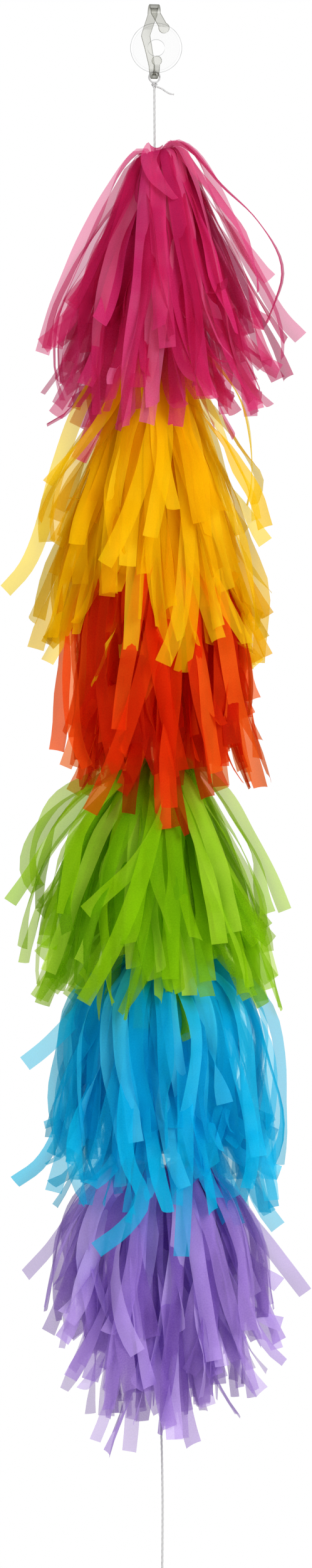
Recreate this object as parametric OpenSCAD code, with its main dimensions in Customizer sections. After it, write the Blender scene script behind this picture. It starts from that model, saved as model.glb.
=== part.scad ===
// Hanging tissue-paper tassel garland: six nested fringe tassels on one cord,
// with a clear hook and a loose clear disc at the top. Millimetres, +Z up.
// The origin is the axis of the hook's arch, where the garland hangs from a rail.
// X is to the right, and the front of the garland faces -Y.

/* [Hook] */
// Inner radius of the arch that sits on the rail
arch_r = 4; // [3:0.5:5]
// Inner radius of the lower bend
bend_r = 6.5; // [6:0.5:8]
// Thickness of the moulded strip
strip_t = 2.2; // [1.8:0.1:2.4]
// Width of the strip over the arch
strip_w = 6; // [5:0.5:7]
// Width of the strip at the lower bend
bend_w = 3.6; // [3:0.2:4]
// Turn of the hook about the vertical, in degrees
hook_turn = 12; // [0:1:15]
// Height of the lower bend's centre below the arch's axis
bend_drop = 32.6; // [32:0.2:40]

/* [Disc] */
// Outside diameter of the disc, over its rim bead
disc_d = 33; // [28:1:34]
// Diameter of the hole in the disc
disc_hole_d = 11; // [8:1:14]
// Thickness of the disc inside its rim
disc_t = 1.2; // [0.8:0.1:1.6]
// Lean of the disc towards the back, in degrees
disc_lean = 10; // [0:1:10]

/* [Cord] */
// Diameter of the cord
cord_d = 1.4; // [1:0.1:1.6]
// Diameter of the knots on the cord
knot_d = 3.4; // [3:0.1:4]
// Height of the tail's lower end
tail_end_z = -1006; // [-1100:1:-960]

/* [Tassels] */
// Height of the first crown's top
crown_z = -86; // [-100:1:-80]
// Distance from one crown to the next
pitch = 131.2; // [125:0.2:140]
// Widest radius of each skirt, from the top
skirt_r = [80, 80, 72, 86, 80, 76]; // [70:1:88]
// Length of each skirt's outer sheet, from the top
skirt_l = [172, 176, 160, 158, 176, 174]; // [155:1:176]
// Thickness of the bunched outer sheet
outer_t = 3.6; // [3:0.2:4]
// Thickness of the bunched middle sheet
middle_t = 3; // [2:0.2:3.4]
// Height of the open space over the next crown
headroom = 10; // [8:1:12]

/* [Hidden] */
$fn = 48;
COLOURS = ["magenta", "yellow", "red", "green", "blue", "purple"];
PAINT = ["MediumVioletRed", "Gold", "OrangeRed", "YellowGreen", "DeepSkyBlue", "MediumPurple"];
PIECES = ["outer_sheet", "middle_sheet", "inner_sheet", "tie", "knot", "cord"];
HANGER = ["hook", "disc", "hanging_loop", "top_knot", "tag_end", "upper_cord"];
last = len(COLOURS) - 1;
eps = 0.01;

// clear space between neighbours along the cord, and the larger one where the tail swings
gap = 0.1;
swing_gap = 0.5;

// hook: the legs run into the arch by lap, and flare from it to the width of the lower bend
lap = 0.6;
flare_z = -9;
arch_outer_r = arch_r + strip_t;
bend_outer_r = bend_r + strip_t;
front_tip = [4.8, -9.6];
front_tip_r = 3.4;
catch_r = 3.1;
catch_z = -bend_drop + 2;
back_bow = [[0, 0], [-4, -13], [-2, -22], [0, -bend_drop]];

// hanging loop: a ring of cord round the lower bend's strip
strip_low_z = -bend_drop - bend_r - strip_t / 2;
loop_r = 3.3;
loop_cord_r = 0.65;
top_knot_z = strip_low_z - loop_r - loop_cord_r - gap / 2 - knot_d / 2;

// disc: it stands on the lower bend and leans on the hook's back leg
disc_r = disc_d / 2;
bead_r = 0.9;
disc_centre = [1.2, -0.2, -21.6];

// tassel: the strips roll over a crown, roll_r in section and roll_at from the axis, and fall as a bell
// that is widest at a share of its length and tucks in by hem_in from there. Depths below the crown are s.
roll_r = 9;
roll_at = 15.5;
widest = 0.8;
hem_in = 0.14;
knot_s = 4;
neck_r = 3;
neck_s = [7, 13];
tie_s = [8, 12];
tail_s = 140;

// sheets: the middle one ends middle_short above the outer one, with sheet_gap between them, and the
// inner one fills a share of the bell. Each bell is drawn as rings ring_step apart.
middle_short = 20;
sheet_gap = 0.8;
ring_step = 10;
last_core_l = 134;
core_fill = 0.55;

// the routes of the loose cord ends, in round numbers
tag_route = [
    [1.5, -0.6, -46.7],
    [3, -1, -47],
    [5, -1.2, -48],
    [7, -1.2, -49.4],
    [9, -1, -50.6],
    [11, -0.8, -51.2]
];
tail_top_z = crown_z - last * pitch - tail_s;
tail_route = [
    [0, 0, tail_top_z],
    [0, 0, -890],
    [0.2, 0, -905],
    [0.5, 0.1, -920],
    [0.7, 0.2, -935],
    [0.8, 0.2, -950],
    [0.7, 0.1, -965],
    [0.5, 0, -980],
    [0.3, 0, -992],
    [0.2, 0, tail_end_z + knot_d]
];

function crown_top(i) = crown_z - i * pitch;
function knot_z(i) = crown_top(i) - knot_s;
function unit(v) = v / norm(v);

// Radius of the bell of tassel i at depth s
function flare(v) = 1 - pow(1 - min(v, 1), 1.35);
function bell_r(i, s) =
    let (start = roll_at + roll_r)
    let (u = (s - roll_r) / (skirt_l[i] - roll_r))
    let (tuck = max(u - widest, 0) / (1 - widest))
    (start + (skirt_r[i] - start) * flare(u / widest)) * (1 - hem_in * tuck * tuck);

// Half section of one bunched sheet, from depth inset to inset + t inside the bell, of length l
function sheet_section(i, inset, t, l) =
    let (depths = [for (s = [roll_r : ring_step : l - ring_step / 2]) s, l])
    let (n = len(depths))
    concat(
        [for (a = [180 : -22.5 : 22.5]) [roll_at, -roll_r] + (roll_r - inset) * [cos(a), sin(a)]],
        [for (s = depths) [bell_r(i, s) - inset, -s]],
        [for (k = [n - 1 : -1 : 0]) [bell_r(i, depths[k]) - inset - t, -depths[k]]],
        [for (a = [22.5 : 22.5 : 180]) [roll_at, -roll_r] + (roll_r - inset - t) * [cos(a), sin(a)]]
    );

// Half section of the inner sheet: a neck that the tie grips, then a slim bundle down the cord
function core_end(i) = i < last ? pitch - headroom : last_core_l;
function core_section(i) =
    let (steps = 6)
    let (top = neck_s[1] + 5)
    let (depths = [for (k = [0 : steps]) top + (core_end(i) - top) * k / steps])
    let (bore_r = cord_d / 2 + gap)
    concat(
        [[bore_r, -neck_s[0]], [neck_r, -neck_s[0]], [neck_r, -neck_s[1]]],
        [for (s = depths) [core_fill * bell_r(i, s), -s]],
        [[bore_r, -core_end(i)]]
    );

// A tube with a ring of flat sides at each point of a route that never runs along Y
module cord_tube(route, d, sides = 8) {
    n = len(route);
    along = [for (k = [0 : n - 1]) unit(route[min(k + 1, n - 1)] - route[max(k - 1, 0)])];
    side_dir = [for (t = along) unit(cross([0, 1, 0], t))];
    rings = [for (k = [0 : n - 1]) for (j = [0 : sides - 1])
        let (a = 360 * j / sides)
        route[k] + d / 2 * (cos(a) * side_dir[k] + sin(a) * cross(along[k], side_dir[k]))];
    walls = [for (k = [0 : n - 2]) for (j = [0 : sides - 1])
        let (m = (j + 1) % sides)
        [k * sides + j, (k + 1) * sides + j, (k + 1) * sides + m, k * sides + m]];
    start_cap = [[for (j = [0 : sides - 1]) j]];
    end_cap = [[for (j = [sides - 1 : -1 : 0]) (n - 1) * sides + j]];
    polyhedron(rings, concat(walls, start_cap, end_cap));
}

// Half of a ring in the side view: up = 1 keeps the upper half, up = -1 the lower half
module half_ring(r_in, r_out, up) {
    intersection() {
        difference() {
            circle(r_out);
            circle(r_in);
        }
        translate([-r_out, up > 0 ? 0 : -r_out]) square([2 * r_out, r_out]);
    }
}

// One leg in the side view, down to foot: s = 1 is the back leg and s = -1 the front one
module leg_side(foot, s) {
    outline = [
        [arch_r + lap, lap],
        [arch_r, 0],
        [bend_r, flare_z],
        [bend_r, foot],
        [bend_outer_r, foot],
        [bend_outer_r, flare_z],
        [arch_outer_r, 0],
        [arch_outer_r - lap, lap]
    ];
    polygon([for (k = [0 : 7]) let (p = outline[s > 0 ? k : 7 - k]) [s * p[0], p[1]]]);
}

// The strip seen from the side: x is the depth from front to back, y is the height
module strip_side() {
    half_ring(arch_r, arch_outer_r, 1);
    leg_side(-bend_drop - eps, 1);
    leg_side(front_tip[1] - front_tip_r, -1);
    translate([0, -bend_drop]) half_ring(bend_r, bend_outer_r, -1);
    translate([-bend_outer_r, -bend_drop - eps]) square([strip_t, catch_z + catch_r + bend_drop + eps]);
}

// The front half seen from the front: a slanting leg with a round tip, and the round catch below
module front_outline() {
    half_w = strip_w / 2;
    polygon([
        [-half_w, arch_outer_r],
        [half_w, arch_outer_r],
        [half_w, 0],
        [front_tip[0] + half_w, front_tip[1]],
        [front_tip[0] - half_w, front_tip[1]],
        [-half_w, 0]
    ]);
    translate(front_tip) circle(front_tip_r);
    translate([0, catch_z]) circle(catch_r);
    translate([-bend_w / 2, -bend_drop - bend_outer_r]) square([bend_w, bend_outer_r + 2]);
}

// The back half seen from the front: a leg that bows to the left and narrows towards the bend
module back_outline() {
    widths = [strip_w, 5.6, 4.6, bend_w];
    polygon(concat(
        [[-strip_w / 2, arch_outer_r]],
        [for (k = [0 : 3]) back_bow[k] - [widths[k] / 2, 0]],
        [[-bend_w / 2, -bend_drop - bend_outer_r], [bend_w / 2, -bend_drop - bend_outer_r]],
        [for (k = [3 : -1 : 0]) back_bow[k] + [widths[k] / 2, 0]],
        [[strip_w / 2, arch_outer_r]]
    ));
}

module hook() {
    reach = 12;
    color("lightcyan", 0.5)
        rotate([0, 0, hook_turn])
            intersection() {
                rotate([90, 0, 90]) linear_extrude(2 * reach, center = true) strip_side();
                rotate([90, 0, 0]) union() {
                    translate([0, 0, -eps]) linear_extrude(reach) front_outline();
                    translate([0, 0, -reach]) linear_extrude(reach + eps) back_outline();
                }
            }
}

module disc() {
    plate_w = disc_r - disc_hole_d / 2 - bead_r;
    color("aliceblue", 0.5)
        translate(disc_centre)
            rotate([90 - disc_lean, 0, 0])
                rotate_extrude($fn = 72)
                    union() {
                        translate([disc_hole_d / 2, -disc_t / 2]) square([plate_w, disc_t]);
                        translate([disc_r - bead_r, 0]) circle(bead_r, $fn = 24);
                    }
}

module hanging_loop() {
    color("whitesmoke")
        translate([0, 0, strip_low_z])
            rotate([90, 0, hook_turn])
                rotate_extrude()
                    translate([loop_r, 0]) circle(loop_cord_r, $fn = 24);
}

module top_knot() {
    color("whitesmoke") translate([0, 0, top_knot_z]) sphere(d = knot_d);
}

module tag_end() {
    color("whitesmoke") cord_tube(tag_route, cord_d * 0.8);
}

// A straight run of cord between two heights
module cord_run(top_z, low_z) {
    color("whitesmoke") translate([0, 0, low_z]) cylinder(h = top_z - low_z, d = cord_d);
}

module upper_cord() {
    cord_run(top_knot_z - knot_d / 2 - gap, knot_z(0) + knot_d / 2 + gap);
}

module outer_sheet(i) {
    color(PAINT[i])
        translate([0, 0, crown_top(i)])
            rotate_extrude() polygon(sheet_section(i, 0, outer_t, skirt_l[i]));
}

module middle_sheet(i) {
    inset = outer_t + sheet_gap;
    color(PAINT[i])
        translate([0, 0, crown_top(i)])
            rotate_extrude() polygon(sheet_section(i, inset, middle_t, skirt_l[i] - middle_short));
}

module inner_sheet(i) {
    color(PAINT[i])
        translate([0, 0, crown_top(i)])
            rotate_extrude() polygon(core_section(i));
}

// Three turns of thread round the neck
module tie(i) {
    turns = 3;
    turn_h = (tie_s[1] - tie_s[0]) / turns;
    color("whitesmoke")
        translate([0, 0, crown_top(i) - tie_s[1]])
            difference() {
                union() {
                    cylinder(h = turns * turn_h, r = neck_r + 0.6);
                    for (k = [0 : turns - 1])
                        translate([0, 0, (k + 0.5) * turn_h])
                            rotate_extrude()
                                translate([neck_r + 0.6, 0]) circle(turn_h / 2 - eps, $fn = 24);
                }
                translate([0, 0, -1]) cylinder(h = turns * turn_h + 2, r = neck_r);
            }
}

module knot(i) {
    color("whitesmoke") translate([0, 0, knot_z(i)]) sphere(d = knot_d);
}

module tassel_cord(i) {
    low_z = i < last ? knot_z(i + 1) + knot_d / 2 + gap : tail_top_z + swing_gap;
    cord_run(knot_z(i) - knot_d / 2 - gap, low_z);
}

module tail_cord() {
    color("whitesmoke") cord_tube(tail_route, cord_d);
}

module tail_knot() {
    color("whitesmoke")
        translate([0.2, 0, tail_end_z + knot_d / 2]) sphere(d = knot_d);
}

hook();
disc();
hanging_loop();
top_knot();
tag_end();
upper_cord();
for (i = [0 : last]) {
    outer_sheet(i);
    middle_sheet(i);
    inner_sheet(i);
    tie(i);
    knot(i);
    tassel_cord(i);
}
tail_cord();
tail_knot();
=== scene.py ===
"""The looks of a hanging tissue tassel garland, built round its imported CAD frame.

Everything is in metres in the CAD's own frame: +Z up, +X to the right, and the front faces -Y. The garland's
cord runs down the Z axis. mm() turns the millimetres of the design into metres.
"""
import math

import bpy
import numpy as np
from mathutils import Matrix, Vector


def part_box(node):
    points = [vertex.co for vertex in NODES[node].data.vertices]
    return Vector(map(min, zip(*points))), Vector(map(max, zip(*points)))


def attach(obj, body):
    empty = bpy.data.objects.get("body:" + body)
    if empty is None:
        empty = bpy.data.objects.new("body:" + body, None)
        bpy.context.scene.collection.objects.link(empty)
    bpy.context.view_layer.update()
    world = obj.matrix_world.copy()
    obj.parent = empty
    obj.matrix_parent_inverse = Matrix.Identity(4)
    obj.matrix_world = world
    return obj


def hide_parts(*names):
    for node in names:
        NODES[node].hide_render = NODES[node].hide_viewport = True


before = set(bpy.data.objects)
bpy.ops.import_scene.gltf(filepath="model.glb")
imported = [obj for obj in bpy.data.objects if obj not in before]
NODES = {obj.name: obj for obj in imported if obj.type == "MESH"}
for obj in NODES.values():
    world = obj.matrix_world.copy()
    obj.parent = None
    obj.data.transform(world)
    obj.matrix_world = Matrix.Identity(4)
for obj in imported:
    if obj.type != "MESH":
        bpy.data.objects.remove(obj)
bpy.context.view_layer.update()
COLOURS = ["magenta", "yellow", "red", "green", "blue", "purple"]


def mm(value):
    """Millimetres to metres, for a number, a list or an array."""
    return np.asarray(value, float) / 1000 if np.ndim(value) else value / 1000


# ------------------------------------------------------------------ camera, light and stage

# The height of the view at the garland, what it is centred on, and the camera's distance and lean.
SCENE_H = mm(1000)
VIEW_CENTRE = (mm(-1.2), 0.0, mm(-491))
CAMERA_AWAY = 4.0
CAMERA_LEAN = math.radians(0.28)
SENSOR = 36.0
CLIP_END = 50
FLOOR_Z = mm(-1250)
FLOOR_R = 1.6
# The surround: how bright the camera sees it, and how bright and in what colour it lights the garland.
SEEN_STRENGTH = 1.0
LIT_STRENGTH = 0.40
LIT_COLOUR = (1.0, 0.985, 0.97, 1)
# Each lamp's place, size and power in watts. They all aim at the view's centre.
LAMPS = {
    "key": ((1.5, -2.6, 0.7), (1.2, 1.8), 116),
    "fill": ((-2.2, -2.0, -0.6), (1.6, 2.2), 30),
}


def make_camera():
    """A long lens level with the middle of the garland, leaning as the photograph does."""
    data = bpy.data.cameras.new("photo_camera")
    data.sensor_width = SENSOR
    data.lens = SENSOR * CAMERA_AWAY / SCENE_H
    data.clip_end = CLIP_END
    cam = bpy.data.objects.new("photo_camera", data)
    bpy.context.scene.collection.objects.link(cam)
    cam.location = (VIEW_CENTRE[0], -CAMERA_AWAY, VIEW_CENTRE[2])
    cam.rotation_euler = (math.pi / 2, CAMERA_LEAN, 0)
    bpy.context.scene.camera = cam


def area_light(name, place, size, power):
    """A soft rectangular lamp that aims at the view's centre."""
    data = bpy.data.lights.new(name, "AREA")
    data.shape = "RECTANGLE"
    data.size, data.size_y = size
    data.energy = power
    lamp = bpy.data.objects.new(name, data)
    bpy.context.scene.collection.objects.link(lamp)
    lamp.location = place
    direction = np.array(VIEW_CENTRE, float) - np.array(place, float)
    flat = math.hypot(direction[0], direction[1])
    tilt = math.atan2(flat, -direction[2])
    turn = math.atan2(direction[1], direction[0]) - math.pi / 2
    lamp.rotation_euler = (tilt, 0, turn)


def make_stage():
    """A white surround that lights the tissue from all sides, and a plain pale floor under it."""
    world = bpy.data.worlds.new("studio")
    bpy.context.scene.world = world
    world.use_nodes = True
    tree = world.node_tree
    tree.nodes.clear()
    out = tree.nodes.new("ShaderNodeOutputWorld")
    mix = tree.nodes.new("ShaderNodeMixShader")
    path = tree.nodes.new("ShaderNodeLightPath")
    seen = tree.nodes.new("ShaderNodeBackground")
    lit = tree.nodes.new("ShaderNodeBackground")
    seen.inputs["Color"].default_value = (1, 1, 1, 1)
    seen.inputs["Strength"].default_value = SEEN_STRENGTH
    lit.inputs["Color"].default_value = LIT_COLOUR
    lit.inputs["Strength"].default_value = LIT_STRENGTH
    tree.links.new(path.outputs["Is Camera Ray"], mix.inputs[0])
    tree.links.new(lit.outputs[0], mix.inputs[1])
    tree.links.new(seen.outputs[0], mix.inputs[2])
    tree.links.new(mix.outputs[0], out.inputs["Surface"])

    bpy.ops.mesh.primitive_circle_add(vertices=96, radius=FLOOR_R, fill_type="NGON",
                                      location=(0, 0, FLOOR_Z))
    floor = bpy.context.object
    floor.name = "studio_floor"
    floor.data.materials.append(plain_material("floor_white", (0.86, 0.86, 0.85), 0.9))

    for name, (place, size, power) in LAMPS.items():
        area_light(name, place, size, power)


# ------------------------------------------------------------------ materials

def new_material(name):
    """An empty node material and its node tree."""
    mat = bpy.data.materials.new(name)
    mat.use_nodes = True
    mat.node_tree.nodes.clear()
    return mat, mat.node_tree


def node(tree, kind, **values):
    """A new node, with its inputs set by name (spaces as underscores) where they aren't its own settings."""
    n = tree.nodes.new(kind)
    for key, value in values.items():
        socket = n.inputs.get(key.replace("_", " "))
        if socket is not None:
            socket.default_value = value
        else:
            setattr(n, key, value)
    return n


def plain_material(name, colour, roughness):
    """One even colour, for the floor only."""
    mat, tree = new_material(name)
    out = node(tree, "ShaderNodeOutputMaterial")
    bsdf = node(tree, "ShaderNodeBsdfPrincipled", Base_Color=(*colour, 1), Roughness=roughness)
    tree.links.new(bsdf.outputs[0], out.inputs["Surface"])
    return mat


def ramp(tree, source, stops):
    """A colour ramp fed by a socket. stops is a list of (position, colour)."""
    r = node(tree, "ShaderNodeValToRGB")
    while len(r.color_ramp.elements) < len(stops):
        r.color_ramp.elements.new(0.5)
    for element, (position, colour) in zip(r.color_ramp.elements, stops):
        element.position = position
        element.color = (*colour, 1)
    tree.links.new(source, r.inputs[0])
    return r.outputs["Color"]


# Shares of light: what tissue lets through of what it scatters, and what clear plastic reflects.
LIGHT_THROUGH = 0.45
GLOSS = 0.012


def tissue_tone_and_painted_light(tree, deep, plain, pale):
    """The strip's shade, a little cloudy, as a colour: from deep, painted shade, through plain to pale,
    painted light.
    """
    shade = node(tree, "ShaderNodeAttribute", attribute_name="shade")
    place = node(tree, "ShaderNodeTexCoord")
    cloud = node(tree, "ShaderNodeTexNoise", Scale=45.0, Detail=2.0)
    tree.links.new(place.outputs["Object"], cloud.inputs["Vector"])
    blend = node(tree, "ShaderNodeMath", operation="MULTIPLY_ADD")
    blend.inputs[1].default_value = 0.3
    tree.links.new(cloud.outputs["Fac"], blend.inputs[0])
    tree.links.new(shade.outputs["Fac"], blend.inputs[2])
    # The ramp's deep stop is painted shade and its pale stop painted light.
    return ramp(tree, blend.outputs[0], [(0.14, deep), (0.72, plain), (1.0, pale)])


def tissue_relief(tree, uv, fibres):
    """Long soft folds, sharp creases and fine fibres, as a normal."""
    stretch = node(tree, "ShaderNodeMapping")
    stretch.inputs["Scale"].default_value = (1.0, 0.2, 1.0)
    tree.links.new(uv.outputs[0], stretch.inputs["Vector"])
    folds = node(tree, "ShaderNodeTexNoise", Scale=150.0, Detail=2.0, Roughness=0.5)
    tree.links.new(stretch.outputs[0], folds.inputs["Vector"])
    creases = node(tree, "ShaderNodeTexVoronoi", feature="DISTANCE_TO_EDGE", Scale=60.0)
    tree.links.new(stretch.outputs[0], creases.inputs["Vector"])

    fine = node(tree, "ShaderNodeMath", operation="MULTIPLY_ADD")
    fine.inputs[1].default_value = 0.12
    tree.links.new(fibres.outputs["Fac"], fine.inputs[0])
    tree.links.new(folds.outputs["Fac"], fine.inputs[2])
    height = node(tree, "ShaderNodeMath", operation="MULTIPLY_ADD")
    height.inputs[1].default_value = 0.5
    tree.links.new(creases.outputs["Distance"], height.inputs[0])
    tree.links.new(fine.outputs[0], height.inputs[2])
    bump = node(tree, "ShaderNodeBump", Strength=0.3, Distance=mm(0.6))
    tree.links.new(height.outputs[0], bump.inputs["Height"])
    return bump.outputs[0]


def mix_shaders(tree, share, first, second):
    """first mixed with second. share is second's, as a number or a socket."""
    mix = node(tree, "ShaderNodeMixShader")
    if isinstance(share, float):
        mix.inputs[0].default_value = share
    else:
        tree.links.new(share, mix.inputs[0])
    tree.links.new(first.outputs[0], mix.inputs[1])
    tree.links.new(second.outputs[0], mix.inputs[2])
    return mix


def tissue_material(name, deep, plain, pale, glow, veil):
    """Thin tissue paper: matt, see-through where it is single, softly creased, each strip a shade of its
    colour from deep, painted shade, to pale, painted light. TISSUE, below, says what the colours are."""
    mat, tree = new_material(name)
    out = node(tree, "ShaderNodeOutputMaterial")
    uv = node(tree, "ShaderNodeUVMap", uv_map="strip")
    fibres = node(tree, "ShaderNodeTexNoise", Scale=900.0, Detail=3.0, Roughness=0.7)
    tree.links.new(uv.outputs[0], fibres.inputs["Vector"])

    paper = node(tree, "ShaderNodeBsdfPrincipled", Roughness=0.7)
    paper.inputs["Specular IOR Level"].default_value = 0.05
    tree.links.new(tissue_tone_and_painted_light(tree, deep, plain, pale), paper.inputs["Base Color"])
    through = node(tree, "ShaderNodeBsdfTranslucent")
    inner = ramp(tree, fibres.outputs["Fac"], [(0.3, plain), (0.7, glow)])
    tree.links.new(inner, through.inputs["Color"])
    relief = tissue_relief(tree, uv, fibres)
    for shader in (paper, through):
        tree.links.new(relief, shader.inputs["Normal"])

    clear = node(tree, "ShaderNodeBsdfTransparent", Color=(*veil, 1))
    thin = node(tree, "ShaderNodeAttribute", attribute_name="thin")
    lit = mix_shaders(tree, LIGHT_THROUGH, paper, through)
    mixed = mix_shaders(tree, thin.outputs["Fac"], lit, clear)
    tree.links.new(mixed.outputs[0], out.inputs["Surface"])
    return mat


def thread_material(name, colour, twist_scale):
    """Matt twisted fibre: fine slanting plies, with painted shade in the grooves between them, and a little
    fuzz.
    """
    mat, tree = new_material(name)
    out = node(tree, "ShaderNodeOutputMaterial")
    place = node(tree, "ShaderNodeTexCoord")
    wave = node(tree, "ShaderNodeTexWave", bands_direction="DIAGONAL", Scale=twist_scale,
                Distortion=1.5, Detail=2.0)
    tree.links.new(place.outputs["Object"], wave.inputs["Vector"])
    fuzz = node(tree, "ShaderNodeTexNoise", Scale=2500.0, Detail=3.0)
    tree.links.new(place.outputs["Object"], fuzz.inputs["Vector"])
    # Painted shade in the grooves between plies: where the wave is low and the bump sinks, the colour
    # darkens.
    groove_shade = tuple(0.72 * c for c in colour)
    ply_tone_and_groove_shade = ramp(tree, wave.outputs["Fac"], [(0.1, groove_shade), (0.6, colour)])
    height = node(tree, "ShaderNodeMath", operation="ADD")
    tree.links.new(wave.outputs["Fac"], height.inputs[0])
    tree.links.new(fuzz.outputs["Fac"], height.inputs[1])
    bump = node(tree, "ShaderNodeBump", Strength=0.6, Distance=mm(0.1))
    tree.links.new(height.outputs[0], bump.inputs["Height"])
    bsdf = node(tree, "ShaderNodeBsdfPrincipled", Roughness=0.8)
    bsdf.inputs["Sheen Weight"].default_value = 0.3
    tree.links.new(ply_tone_and_groove_shade, bsdf.inputs["Base Color"])
    tree.links.new(bump.outputs[0], bsdf.inputs["Normal"])
    tree.links.new(bsdf.outputs[0], out.inputs["Surface"])
    return mat


def clear_plastic_material(name, face, edge, rim_at):
    """Clear moulded plastic: it tints what is behind it by face where it faces the eye and by edge where it
    turns away, and has a faint gloss. rim_at is how far it turns before the edge's tint starts."""
    mat, tree = new_material(name)
    out = node(tree, "ShaderNodeOutputMaterial")
    place = node(tree, "ShaderNodeTexCoord")
    flow = node(tree, "ShaderNodeTexNoise", Scale=140.0, Detail=1.0)
    tree.links.new(place.outputs["Object"], flow.inputs["Vector"])
    turn = node(tree, "ShaderNodeLayerWeight", Blend=0.4)
    uneven = node(tree, "ShaderNodeMath", operation="MULTIPLY_ADD")
    uneven.inputs[1].default_value = 0.25
    tree.links.new(flow.outputs["Fac"], uneven.inputs[0])
    tree.links.new(turn.outputs["Facing"], uneven.inputs[2])
    tint = ramp(tree, uneven.outputs[0], [(rim_at, face), (1.0, edge)])
    clear = node(tree, "ShaderNodeBsdfTransparent")
    tree.links.new(tint, clear.inputs["Color"])
    bump = node(tree, "ShaderNodeBump", Strength=0.1, Distance=mm(0.3))
    tree.links.new(flow.outputs["Fac"], bump.inputs["Height"])
    gloss = node(tree, "ShaderNodeBsdfGlossy", Roughness=0.3, Color=(0.9, 0.9, 0.9, 1))
    tree.links.new(bump.outputs[0], gloss.inputs["Normal"])
    mixed = mix_shaders(tree, GLOSS, clear, gloss)
    tree.links.new(mixed.outputs[0], out.inputs["Surface"])
    return mat


# Tissue colours as linear light: deep, plain and pale are the range of its strips' shades, where deep is
# painted shade, as in the gaps between strips, and pale is painted light; glow is light that spreads through
# it, and veil tints what is seen through one layer.
TISSUE = {
    "magenta": dict(deep=(0.29, 0.001, 0.045), plain=(0.74, 0.035, 0.21), pale=(0.74, 0.17, 0.35),
                    glow=(0.92, 0.16, 0.42), veil=(0.98, 0.66, 0.77)),
    "yellow": dict(deep=(0.62, 0.22, 0.000), plain=(0.92, 0.58, 0.001), pale=(1.00, 0.80, 0.02),
                   glow=(1.00, 0.76, 0.01), veil=(1.00, 0.94, 0.48)),
    "red": dict(deep=(0.20, 0.001, 0.000), plain=(0.84, 0.045, 0.002), pale=(1.00, 0.15, 0.01),
                glow=(1.00, 0.14, 0.01), veil=(1.00, 0.48, 0.26)),
    "green": dict(deep=(0.06, 0.19, 0.001), plain=(0.31, 0.58, 0.002), pale=(0.54, 0.78, 0.06),
                  glow=(0.58, 0.86, 0.04), veil=(0.88, 0.98, 0.56)),
    "blue": dict(deep=(0.001, 0.22, 0.44), plain=(0.001, 0.54, 0.82), pale=(0.08, 0.72, 0.96),
                 glow=(0.04, 0.78, 1.00), veil=(0.62, 0.92, 0.98)),
    "purple": dict(deep=(0.07, 0.02, 0.17), plain=(0.48, 0.31, 0.76), pale=(0.66, 0.50, 0.92),
                   glow=(0.72, 0.57, 0.96), veil=(0.90, 0.84, 0.97)),
}


# ------------------------------------------------------------------ mesh helpers

def smoothstep(x):
    """Eases from 0 to 1 as x goes from 0 to 1."""
    x = np.clip(x, 0, 1)
    return x * x * (3 - 2 * x)


def unit(v):
    """Vectors scaled to length 1."""
    return v / np.linalg.norm(v, axis=-1, keepdims=True)


def make_object(name, verts, faces, material):
    """A smooth-shaded mesh object from its vertices and faces."""
    mesh = bpy.data.meshes.new(name)
    mesh.from_pydata([tuple(v) for v in verts], [], [tuple(f) for f in faces])
    mesh.update()
    mesh.polygons.foreach_set("use_smooth", [True] * len(mesh.polygons))
    mesh.materials.append(material)
    obj = bpy.data.objects.new(name, mesh)
    bpy.context.scene.collection.objects.link(obj)
    return obj


SPLINE_STEPS = 24


def curve_points(points, count):
    """A smooth Catmull-Rom line through a few points, as count points evenly spaced along it."""
    p = np.asarray(points, float)
    p = np.vstack([2 * p[0] - p[1], p, 2 * p[-1] - p[-2]])
    fine = []
    for k in range(1, len(p) - 2):
        t = np.linspace(0, 1, SPLINE_STEPS, endpoint=False)[:, None]
        a, b, c, d = p[k - 1], p[k], p[k + 1], p[k + 2]
        square, cube = 2 * a - 5 * b + 4 * c - d, 3 * b - a - 3 * c + d
        fine.append(0.5 * (2 * b + (c - a) * t + square * t**2 + cube * t**3))
    line = np.vstack([*fine, p[-2:-1]])
    at = np.concatenate([[0], np.cumsum(np.linalg.norm(np.diff(line, axis=0), axis=1))])
    wanted = np.linspace(0, at[-1], count)
    return np.stack([np.interp(wanted, at, line[:, k]) for k in range(3)], 1)


def tangents(line):
    """The direction of a line at each of its points."""
    return unit(np.gradient(line, axis=0))


# ------------------------------------------------------------------ cords and knots

PLIES = 3
CORD_D = mm(1.4)
CORD_STEP = mm(0.45)
# The hanging loop's cord, the distance between its two turns, and how thick its CAD solid is.
LOOP_D = mm(1.0)
LOOP_PITCH = mm(1.1)
CAD_LOOP_D = mm(1.3)
TAG_D = 0.8 * CORD_D
PLY_D = mm(0.45)
# A knot is drawn tight, so its cord is thinner. The top one is raised to meet the loop.
KNOT_D = 0.62 * CORD_D
KNOT_SIZE = mm(4.2)
KNOT_RAISED = mm(0.4)
# How far the upper cord runs on above its CAD node, into the top knot.
INTO_KNOT = mm(0.8)


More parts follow.
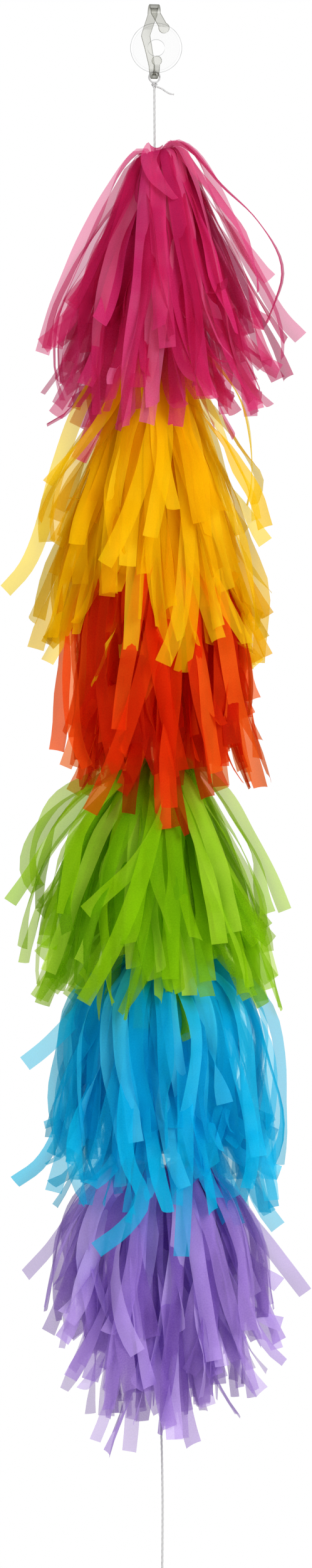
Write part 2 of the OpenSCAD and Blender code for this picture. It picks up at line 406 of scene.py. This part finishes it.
def twisted_tube(line, diameter, sides=15, turns_per_m=260, closed=False, taper_end=False):
    """Vertices and faces of a three-ply cord along a line, with its plies as slanting ridges."""
    t = tangents(line)
    if closed:
        t = unit(np.roll(line, -1, 0) - np.roll(line, 1, 0))
    side = unit(np.cross(t, [0.31, 0.95, 0.08]))
    up = np.cross(side, t)
    length = np.concatenate([[0], np.cumsum(np.linalg.norm(np.diff(line, axis=0), axis=1))])
    if closed:
        whole = length[-1] + np.linalg.norm(line[0] - line[-1])
        turns_per_m = max(1, round(turns_per_m * whole)) / whole
    n = len(line)
    a = 2 * math.pi * np.arange(sides) / sides
    lay = 2 * math.pi * turns_per_m * length[:, None] / PLIES
    radius = diameter / 2 * (0.91 + 0.09 * np.cos(PLIES * (a[None, :] - lay)))
    if taper_end:
        radius = radius * np.clip(np.linspace(n / 4, 0.25, n), 0, 1)[:, None]
    ring = np.cos(a)[None, :, None] * side[:, None, :] + np.sin(a)[None, :, None] * up[:, None, :]
    verts = (line[:, None, :] + radius[:, :, None] * ring).reshape(-1, 3)
    faces = []
    last = n if closed else n - 1
    for k in range(last):
        m = (k + 1) % n
        for j in range(sides):
            i = (j + 1) % sides
            faces.append((k * sides + j, k * sides + i, m * sides + i, m * sides + j))
    if not closed:
        faces.append(tuple(range(sides - 1, -1, -1)))
        faces.append(tuple((n - 1) * sides + j for j in range(sides)))
    return verts, faces


def join(parts):
    """One list of vertices and faces from several."""
    verts, faces, start = [], [], 0
    for v, f in parts:
        verts.append(np.asarray(v))
        faces += [tuple(start + i for i in face) for face in f]
        start += len(v)
    return np.vstack(verts), faces


def make_cord(name, points, body, cad_node, material):
    """A free cord along a few given points, in steps along its real length."""
    rough = curve_points(points, 60)
    length = float(np.sum(np.linalg.norm(np.diff(rough, axis=0), axis=1)))
    line = curve_points(points, max(24, int(length / CORD_STEP)))
    verts, faces = twisted_tube(line, CORD_D)
    cord = make_object(name, verts, faces, material)
    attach(cord, body)
    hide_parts(cad_node)


def make_knot(name, centre, body, cad_node, material):
    """A small overhand knot: the cord's own trefoil, pulled tight."""
    t = np.linspace(0, 2 * math.pi, 90, endpoint=False)
    line = np.stack([np.sin(t) + 2 * np.sin(2 * t), np.cos(t) - 2 * np.cos(2 * t), -1.6 * np.sin(3 * t)], 1)
    line = line / 3.0 * (KNOT_SIZE - KNOT_D) / 2
    line = line[:, [0, 2, 1]] + np.asarray(centre)
    verts, faces = twisted_tube(line, KNOT_D, sides=12, turns_per_m=420, closed=True)
    knot = make_object(name, verts, faces, material)
    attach(knot, body)
    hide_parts(cad_node)
    return knot


def centre_of(cad_node):
    """The middle of a CAD node's box."""
    low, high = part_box(cad_node)
    return (np.array(low) + np.array(high)) / 2


def make_hanging_loop(material):
    """Two turns of cord round the hook's lower bend."""
    low, high = (np.array(c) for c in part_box("hanging_loop"))
    centre = (low + high) / 2
    outer = (high[2] - low[2]) / 2
    turn = math.atan2(high[1] - low[1] - CAD_LOOP_D, high[0] - low[0])
    side = np.array([math.cos(turn), math.sin(turn), 0])
    along = np.array([-math.sin(turn), math.cos(turn), 0])
    t = np.linspace(0, 4 * math.pi, 220)
    radius = outer - LOOP_D / 2
    line = centre + radius * (np.cos(t)[:, None] * side + np.sin(t)[:, None] * np.array([0, 0, 1]))
    line = line + (LOOP_PITCH * (t / (4 * math.pi) - 0.5))[:, None] * along
    verts, faces = twisted_tube(line, LOOP_D, sides=12)
    loop = make_object("cord_loop", verts, faces, material)
    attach(loop, "loop")
    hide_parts("hanging_loop")


# Routes in millimetres. The tag's plies part by these steps from its end.
TAG_ROUTE = [(1.5, -0.6, -46.6), (3, -1, -47), (5, -1.2, -48), (7, -1.2, -49.4), (9, -1, -50.6),
             (11, -0.8, -51.2)]
TAG_PLIES = [(1.5, 0.3, 0.5), (1.7, -0.3, -0.1), (1.4, 0.1, -0.8)]
TAIL_ROUTE = [(0, 0, -882), (0, 0, -890), (0.2, 0, -905), (0.5, 0.1, -920), (0.7, 0.2, -935),
              (0.8, 0.2, -950), (0.7, 0.1, -965), (0.5, 0, -980), (0.3, 0, -992), (0.2, 0, -1002.6)]


def make_tag_end(material):
    """The knot's cut end, whose plies come apart at the tip."""
    line = curve_points(mm(TAG_ROUTE), 40)
    parts = [twisted_tube(line, TAG_D)]
    for k, tip in enumerate(TAG_PLIES):
        ply = curve_points([line[-4], line[-1] + mm([0.3, 0.1 * k, 0]), line[-1] + mm(tip)], 10)
        parts.append(twisted_tube(ply, PLY_D, sides=8, taper_end=True))
    tag = make_object("cord_tag_end", *join(parts), material)
    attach(tag, "loop")
    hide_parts("tag_end")
    return tag


def make_cords(material):
    """Every cord and knot that replaces a CAD node."""
    make_hanging_loop(material)
    knot = make_knot("cord_top_knot", centre_of("top_knot") + np.array([0, 0, KNOT_RAISED]),
                     "loop", "top_knot", material)
    tag = make_tag_end(material)
    low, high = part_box("upper_cord")
    top, end = high[2] + INTO_KNOT, low[2]
    route = [(0, 0, top), (0, 0, 0.75 * top + 0.25 * end), (0, 0, 0.4 * top + 0.6 * end), (0, 0, end)]
    make_cord("cord_upper", route, "upper_cord", "upper_cord", material)
    tail_knot = make_knot("cord_tail_knot", centre_of("tail_knot"), "tail", "tail_knot", material)
    make_cord("cord_tail", mm(TAIL_ROUTE), "tail", "tail_cord", material)
    for colour in COLOURS:
        node_name = f"{colour}_knot"
        make_knot(f"cord_{node_name}", centre_of(node_name), node_name, node_name, material)


# ------------------------------------------------------------------ tissue strips

STRIP_W = mm(10.8)
# The points across a strip, from edge to edge.
ACROSS = np.linspace(-1, 1, 5)
# How see-through strips are, from THINNEST down by THIN_RANGE. It cycles about seven times over the range
# of shades, so that pale strips aren't always the thin ones.
THINNEST = 0.60
THIN_RANGE = 0.32
THIN_CYCLE = 7.3
# Sets the strips' UVs apart, so that no two have the same creases.
UV_STEP = 0.37


class Strips:
    """Collects strips of tissue as one mesh. Each strip has a shade, from painted shade to painted light,
    and a thinness, and its UV runs in metres along it."""

    def __init__(self):
        self.verts, self.faces, self.shade, self.uv = [], [], [], []
        self.count = 0
        self.flat_area = 0.0

    def add(self, line, side_hint, roll, cup, shade):
        """One strip along a line. roll turns it about the line, and cup curls it across, from 0, flat."""
        n = len(line)
        t = tangents(line)
        side = unit(side_hint - np.sum(side_hint * t, 1, keepdims=True) * t)
        out = np.cross(side, t)
        c, s = np.cos(roll)[:, None], np.sin(roll)[:, None]
        wide, deep = c * side + s * out, c * out - s * side
        bend = np.where(np.abs(cup) < 1e-3, 1e-3, cup)[:, None]
        x = STRIP_W / 2 * np.sin(bend * ACROSS) / bend
        y = STRIP_W / 2 * (np.cos(bend * ACROSS) - 1) / bend
        rows = line[:, None, :] + x[:, :, None] * wide[:, None, :] + y[:, :, None] * deep[:, None, :]
        start = sum(len(v) for v in self.verts)
        m = len(ACROSS)
        self.verts.append(rows.reshape(-1, 3))
        run = np.concatenate([[0], np.cumsum(np.linalg.norm(np.diff(line, axis=0), axis=1))])
        self.flat_area += STRIP_W * run[-1]
        self.shade.append(np.full(n * m, shade))
        over = self.count * UV_STEP + ACROSS[None, :] * STRIP_W / 2
        uv = np.stack(np.broadcast_arrays(over, run[:, None]), -1)
        self.uv.append(uv.reshape(-1, 2))
        for k in range(n - 1):
            for j in range(m - 1):
                a = start + k * m + j
                self.faces.append((a, a + m, a + m + 1, a + 1))
        self.count += 1

    def build(self, name, material):
        """The mesh object of all the strips. Its thin attribute is how see-through each strip is."""
        verts, uv = np.vstack(self.verts), np.vstack(self.uv)
        obj = make_object(name, verts, self.faces, material)
        shade = np.concatenate(self.shade)
        thin = THINNEST - THIN_RANGE * ((THIN_CYCLE * shade) % 1)
        for label, values in (("shade", shade), ("thin", thin)):
            attribute = obj.data.attributes.new(label, "FLOAT", "POINT")
            attribute.data.foreach_set("value", values.astype(np.float32))
        layer = obj.data.uv_layers.new(name="strip")
        corner = np.zeros(len(obj.data.loops), np.int32)
        obj.data.loops.foreach_get("vertex_index", corner)
        layer.data.foreach_set("uv", uv[corner].astype(np.float32).ravel())
        return obj


# Each tassel, in millimetres and degrees:
# - length is that of its strips on the left, in the middle and on the right;
# - reach is how far its skirt spreads to the left, right, front and back;
# - least is the nearest that a strip hangs, as a share of that reach;
# - ragged is the share of its length that the shortest strip lacks;
# - turn is where, as shares of its length, a strip starts and ends its turn down to its hang;
# - hang is the angle out from the plumb line that it ends at, and spread how that varies between strips;
# - tip is how far out the tips bend, and curl how much they curl;
# - loops is the length of the rolled crown on the left and on the right.
TASSELS = {
    "magenta": dict(length=(182, 206, 192), reach=(70, 84, 76, 76), least=0.50, ragged=0.36,
                    turn=(0.60, 1.15), hang=12, spread=12, tip=22, curl=1.4, loops=(10, 24)),
    "yellow": dict(length=(200, 226, 216), reach=(72, 70, 74, 74), least=0.66, ragged=0.42,
                   turn=(0.60, 1.1), hang=8, spread=11, tip=3, curl=1.0, loops=(18, 20)),
    "red": dict(length=(174, 200, 176), reach=(68, 70, 68, 68), least=0.66, ragged=0.28,
                turn=(0.05, 0.55), hang=-3, spread=9, tip=3, curl=0.9, loops=(34, 34)),
    "green": dict(length=(182, 190, 178), reach=(86, 76, 78, 78), least=0.60, ragged=0.28,
                  turn=(0.34, 1.05), hang=12, spread=12, tip=6, curl=1.1, loops=(28, 30)),
    "blue": dict(length=(182, 188, 200), reach=(74, 82, 76, 76), least=0.70, ragged=0.34,
                 turn=(0.10, 0.65), hang=6, spread=14, tip=8, curl=1.5, loops=(36, 38)),
    "purple": dict(length=(152, 198, 160), reach=(90, 84, 70, 70), least=0.46, ragged=0.32,
                   turn=(0.02, 0.75), hang=6, spread=12, tip=4, curl=1.1, loops=(38, 40)),
}
# The neck, where the strips start, below the crown's top and round the cord.
NECK_DROP = mm(8)
NECK_R = mm(4)
# The inner strips' length in millimetres, and how far they spread as a share of it.
INNER_LENGTH = {"magenta": 112, "yellow": 112, "red": 112, "green": 112, "blue": 118, "purple": 150}
INNER_SPREAD = 0.36
INNER_COUNT = 44
# The outer and middle layers: how many strips, how far inside the skirt's reach, how long, and how loose.
LAYERS = {
    "outer": dict(count=94, inset=0.0, length_share=1.0, loose=1.0),
    "middle": dict(count=80, inset=mm(7), length_share=0.96, loose=0.8),
}
# A strip's line: its steps over the arch and below it, the range and the tries of the search for its
# shoulder's angle, and where, as a share of its length, its tip starts to bend out.
ARCH_STEPS = 8
FALL_STEPS = 15
SHOULDER_LOW = math.radians(-12)
SHOULDER_HIGH = math.radians(74)
SHOULDER_TRIES = 24
FLICK_FROM = 0.66
# How chance turns a strip about its line, in radians, and where along it its curl starts.
ROLL_SPREAD = 0.8
CURL_SPREAD = 0.75
CURL_FROM = 0.55
# How far the edges curl away from the cord at the neck, in radians.
NECK_CUP = 2.1
# In degrees: how much further out a strip hangs for the share that it lacks, and how tips and sideways
# drift vary.
SHORT_FLARE = 36
TIP_SPREAD = 22
SWAY_SPREAD = 15
SEED = 4100


def reach_at(spec, azimuth):
    """How far the skirt reaches at an azimuth, from its four stated reaches."""
    left, right, front, back = spec["reach"]
    c, s = math.cos(azimuth), math.sin(azimuth)
    return mm(math.hypot((right if c > 0 else left) * c, (back if s > 0 else front) * s))


def length_at(spec, azimuth):
    """How long the strips are at an azimuth, from the three stated lengths."""
    left, middle, right = spec["length"]
    c = math.cos(azimuth)
    share = abs(c) ** 1.5
    return mm(middle + ((right if c > 0 else left) - middle) * share)


def fall_line(length, start_r, reach, up, arch, turn, hang, tip, sway):
    """A strip's line in its own radial plane: it rises from the neck, rolls over the crown's arch and falls,
    and turns down to its hang between the two shares of its length in turn. Its shoulder's angle is searched
    so that it just spreads to reach, which it never passes. Columns are distance out, sideways drift and
    height. Also returns how far along the strip each point is, from 0 to 1."""
    on_arch = np.linspace(0, arch, ARCH_STEPS + 1)[:-1]
    at = np.concatenate([on_arch, np.linspace(arch, length, FALL_STEPS + 1)])
    mid = (at[1:] + at[:-1]) / 2
    step = np.diff(at)
    rise = 1 - smoothstep(mid / arch)
    fall = smoothstep((mid / length - turn[0]) / (turn[1] - turn[0]))
    flick = np.clip((mid / length - FLICK_FROM) / (1 - FLICK_FROM), 0, 1) ** 1.5

    def run(shoulder):
        angle = hang + (shoulder - hang) * (1 - fall) + (up - shoulder) * rise + tip * flick
        return start_r + np.concatenate([[0], np.cumsum(np.sin(angle) * step)]), angle

    low, high = SHOULDER_LOW, SHOULDER_HIGH
    for _ in range(SHOULDER_TRIES):
        shoulder = (low + high) / 2
        if run(shoulder)[0].max() < reach:
            low = shoulder
        else:
            high = shoulder
    out, angle = run(shoulder)
    if out.max() > reach:
        out = start_r + (out - start_r) * (reach - start_r) / (out.max() - start_r)
    down = np.concatenate([[0], np.cumsum(-np.cos(angle) * step)])
    drift = np.concatenate([[0], np.cumsum(np.sin(sway * (mid / length) ** 1.2) * step)])
    return np.stack([out, drift, down], 1), at / length


def place_line(line, azimuth, neck_z):
    """Turns a line in its radial plane to its azimuth about the cord, from the neck's height down. Also
    returns the direction across it."""
    c, s = math.cos(azimuth), math.sin(azimuth)
    e_out, e_side = np.array([c, s, 0]), np.array([-s, c, 0])
    base = np.array([0, 0, neck_z])
    return base + line[:, :1] * e_out + line[:, 1:2] * e_side + line[:, 2:] * np.array([0, 0, 1]), e_side


def ripple(rng, u, waves):
    """Soft random waves along a strip, of unit size."""
    total = np.zeros_like(u)
    for _ in range(2):
        total += rng.uniform(0.4, 0.6) * np.sin(2 * math.pi * (u * rng.uniform(*waves) + rng.uniform()))
    return total


def add_strip(strips, rng, line, u, azimuth, neck_z, curl, shade):
    """Crumples a strip a little, turns and cups it by chance and adds it. At the neck it doesn't turn, and
    its edges curl away from the cord."""
    line = line.copy()
    soft = smoothstep(u * 3)
    line[:, 1] += mm(rng.uniform(0.4, 2.0)) * ripple(rng, u, (0.8, 2.2)) * soft
    line[:, 0] += mm(rng.uniform(0.2, 1.1)) * ripple(rng, u, (1.5, 4.5)) * soft
    points, e_side = place_line(line, azimuth, neck_z)
    free = smoothstep(u * 8)
    roll = rng.normal(0, ROLL_SPREAD) * (1 - u) ** 2 + rng.normal(0, ROLL_SPREAD) * u
    roll = (roll + 0.3 * ripple(rng, u, (0.8, 2.5))) * free
    roll = roll + rng.normal(0, CURL_SPREAD) * curl * np.clip(u - CURL_FROM, 0, 1) ** 1.5 * 3
    cup = (rng.uniform(0.1, 0.7) + 0.35 * ripple(rng, u, (1.0, 3.0))) * rng.choice([-1, 1], p=[0.35, 0.65])
    cup = cup * free - NECK_CUP * (1 - u) ** 5
    strips.add(points, np.broadcast_to(e_side, points.shape), roll, cup, shade)


def add_layer(strips, rng, spec, neck_z, count, inset, length_share, loose):
    """One ring of strips round the cord, inset from the skirt's reach. Shorter strips flare out more."""
    for k in range(count):
        azimuth = 2 * math.pi * (k + rng.uniform(-0.4, 0.4)) / count
        share = 1 - (1 - spec["least"]) * rng.uniform(0, 1) ** 1.9
        short = spec["ragged"] * rng.uniform(0, 1) ** 1.5
        reach = reach_at(spec, azimuth) * share - inset
        length = length_at(spec, azimuth) * length_share * (1 - short) * rng.uniform(0.96, 1.02)
        right = (1 + math.cos(azimuth)) / 2
        loop = spec["loops"][0] + (spec["loops"][1] - spec["loops"][0]) * right
        arch = mm(loop * rng.uniform(0.72, 1.08))
        up = math.radians(rng.uniform(146, 174))
        turn = np.array(spec["turn"]) * rng.uniform(0.8, 1.2)
        hang = math.radians(spec["hang"] + rng.normal(0, spec["spread"]) + SHORT_FLARE * short)
        tip = math.radians((spec["tip"] + rng.normal(0, TIP_SPREAD) * spec["curl"]) * loose)
        sway = math.radians(rng.normal(0, SWAY_SPREAD) * loose)
        start = NECK_R * rng.uniform(0.8, 1.4)
        line, u = fall_line(length, start, reach, up, arch, turn, hang, tip, sway)
        add_strip(strips, rng, line, u, azimuth, neck_z, spec["curl"] * loose, rng.uniform(0.05, 0.85))


def add_inner(strips, rng, neck_z, length):
    """The bunch's other half, which hangs straight down the cord from the tie."""
    for k in range(INNER_COUNT):
        azimuth = 2 * math.pi * (k + rng.uniform(-0.4, 0.4)) / INNER_COUNT
        reach = mm(INNER_SPREAD * length) * rng.uniform(0.35, 1.0)
        run = mm(length) * rng.uniform(0.88, 1.0)
        tip = math.radians(rng.normal(0, 8))
        line, u = fall_line(run, mm(3.2), reach, math.radians(25), mm(20), (0.2, 1.0), 0, tip, 0)
        # The inner strips get only the darker shades: painted shade, for hanging inside the bunch.
        add_strip(strips, rng, line, u, azimuth, neck_z, 0.6, rng.uniform(0.0, 0.5))


# Strips of the outer sheets that stray from the rest: a route in millimetres and its turn in degrees.
STRAYS = {
    "magenta": [
        ([(8, 0, -94), (12, -2, -84), (24, -6, -90), (42, -10, -111), (62, -14, -130), (76, -16, -151),
          (80, -16, -168), (75, -15, -186), (70, -15, -198)], 8),
        ([(3, -3, -94), (0, -10, -86), (-4, -18, -95), (0, -23, -106), (7, -27, -116), (12, -29, -121)], 20),
        ([(4, -2, -94), (13, -4, -84), (26, -8, -92), (40, -12, -118), (54, -14, -150), (67, -14, -174),
          (80, -14, -195), (92, -12, -208)], 66),
        ([(5, -4, -94), (14, -12, -86), (28, -24, -120), (40, -30, -170), (48, -30, -215), (60, -28, -240),
          (72, -24, -252)], 35),
        ([(-4, -2, -94), (-9, -4, -89), (-18, -8, -97), (-28, -12, -113), (-39, -14, -134),
          (-51, -14, -158), (-61, -14, -182), (-67, -14, -201), (-72, -14, -217)], -64),
    ],
    "yellow": [
        ([(6, 0, -225), (12, -3, -216), (26, -7, -216), (42, -11, -230), (54, -13, -249), (60, -12, -279),
          (60, -11, -300), (57, -11, -314)], 8),
        ([(1, -4, -225), (-4, -12, -216), (-16, -26, -228), (-32, -40, -258), (-50, -48, -282),
          (-68, -52, -302)], 10),
        ([(-4, 0, -225), (-20, -4, -216), (-46, -10, -248), (-62, -14, -290), (-73, -16, -330),
          (-83, -16, -353), (-96, -14, -368)], 58),
    ],
    "green": [
        ([(2, -4, -487), (6, -16, -480), (5, -36, -500), (-4, -48, -524), (-18, -58, -545), (-34, -64, -560),
          (-46, -66, -571)], 62),
        ([(-4, 0, -487), (-20, -4, -478), (-44, -8, -496), (-62, -12, -520), (-78, -14, -543),
          (-94, -14, -566)], -62),
        ([(4, 0, -487), (20, -4, -478), (42, -8, -498), (58, -12, -524), (70, -14, -548),
          (80, -14, -572)], 60),
    ],
    "blue": [
        ([(-3, -2, -618), (-16, -10, -609), (-36, -18, -622), (-54, -24, -640), (-70, -26, -656),
          (-85, -26, -668)], 60),
        ([(-4, 0, -618), (-20, -4, -609), (-42, -8, -636), (-56, -12, -680), (-64, -14, -712),
          (-76, -14, -732), (-92, -12, -744)], -58),
        ([(-1, -4, -618), (-6, -20, -609), (-16, -46, -650), (-22, -62, -700), (-20, -72, -728),
          (-11, -78, -750), (-22, -80, -768), (-40, -79, -782)], 40),
        ([(1, -4, -618), (7, -20, -609), (14, -46, -650), (16, -62, -710), (15, -69, -750),
          (13, -71, -787)], 5),
    ],
    "purple": [
        ([(4, 0, -750), (22, -4, -741), (44, -8, -754), (62, -12, -776), (78, -14, -797),
          (92, -14, -815)], 72),
        ([(-1, -4, -750), (-7, -12, -741), (-14, -20, -790), (-18, -24, -850), (-18, -24, -890),
          (-20, -24, -914)], 0),
        ([(2, -4, -750), (8, -12, -741), (14, -20, -790), (14, -24, -850), (12, -24, -880),
          (13, -24, -906)], 10),
    ],
}


def add_stray(strips, rng, route, turn):
    """A strip along a given route, turned about it by turn as it leaves the crown."""
    line = curve_points(mm(route), 30)
    u = np.linspace(0, 1, len(line))
    outward = unit(line * [1, 1, 0] + [1e-6, 0, 0])
    side = np.cross([0, 0, 1], outward)
    roll = math.radians(turn) * smoothstep(u * 2.5) + 0.15 * ripple(rng, u, (0.8, 2.5))
    cup = 2.0 * (1 - u) ** 6 + 0.35 + 0.2 * ripple(rng, u, (1.0, 3.0))
    # Strays get only the paler shades: painted light, for hanging out on their own.
    strips.add(line, side, roll, cup, rng.uniform(0.4, 0.9))


def finish_sheet(strips, layer, colour, material):
    """Makes the strips one sheet, in place of the CAD's plain one."""
    piece = strips.build(f"{colour}_{layer}_strips", material)
    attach(piece, f"{colour}_tassel")
    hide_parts(f"{colour}_{layer}_sheet")


def make_tassel(index, colour, material):
    """The three sheets of one tassel, from its own seed."""
    rng = np.random.default_rng(SEED + index)
    neck_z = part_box(f"{colour}_outer_sheet")[1][2] - NECK_DROP
    for layer, settings in LAYERS.items():
        strips = Strips()
        add_layer(strips, rng, TASSELS[colour], neck_z, **settings)
        if layer == "outer":
            for route, turn in STRAYS.get(colour, []):
                add_stray(strips, rng, route, turn)
        finish_sheet(strips, layer, colour, material)
    strips = Strips()
    add_inner(strips, rng, neck_z, INNER_LENGTH[colour])
    finish_sheet(strips, "inner", colour, material)


def dress(cad_node, material):
    """Gives a CAD node its material."""
    NODES[cad_node].data.materials.clear()
    NODES[cad_node].data.materials.append(material)


# ------------------------------------------------------------------ the build

make_camera()
cord_white = thread_material("white_cord", (0.50, 0.50, 0.50), 900.0)
make_cords(cord_white)
make_stage()

thread = thread_material("binding_thread", (0.78, 0.76, 0.72), 1600.0)
HOOK_TINT = ((0.80, 0.80, 0.775), (0.36, 0.36, 0.33), 0.18)
DISC_TINT = ((0.99, 0.99, 0.99), (0.30, 0.31, 0.31), 0.30)
dress("hook", clear_plastic_material("clear_hook_plastic", *HOOK_TINT))
dress("disc", clear_plastic_material("clear_disc_plastic", *DISC_TINT))
for colour in COLOURS:
    dress(f"{colour}_tie", thread)
    dress(f"{colour}_cord", cord_white)

for index, colour in enumerate(COLOURS):
    make_tassel(index, colour, tissue_material(f"{colour}_tissue", **TISSUE[colour]))

bpy.context.scene.view_settings.view_transform = "Standard"
